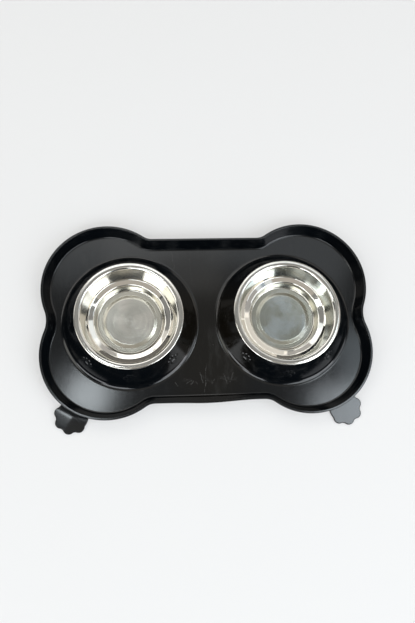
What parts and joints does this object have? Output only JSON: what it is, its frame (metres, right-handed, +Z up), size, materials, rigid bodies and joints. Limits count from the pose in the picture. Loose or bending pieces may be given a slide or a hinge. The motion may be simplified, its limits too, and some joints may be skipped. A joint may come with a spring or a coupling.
{
  "type": "double pet bowl",
  "caption": "Bone-shaped silicone tray with a raised rim, raised collars and paw-shaped grip tabs that holds lift-out stainless steel feeding bowls.",
  "frame": {"origin": "on the tray's flat underside, midway between the middles of the two bowls", "axes": "+X along the tray from the left bowl to the right bowl, +Z up out of the bowls, -Y towards the edge with the two grip tabs"},
  "size_m": [0.436, 0.2748, 0.0402],
  "materials": {
    "silicone": "black silicone with a soft satin sheen, faint scuffs and lint",
    "stainless_steel": "polished sloping walls and rolled rim, fine circular brushing on the floor"
  },
  "bodies": {
    "mat": {"mat": "silicone"},
    "left_bowl": {"left_bowl": "stainless_steel"},
    "right_bowl": {"right_bowl": "stainless_steel"}
  },
  "joints": [
    {"name": "left_bowl_lift", "type": "slide", "parent": "mat", "child": "left_bowl", "axis": [0, 0, 1], "range_m": [0, 0.06]},
    {"name": "right_bowl_lift", "type": "slide", "parent": "mat", "child": "right_bowl", "axis": [0, 0, 1], "range_m": [0, 0.06]}
  ]
}
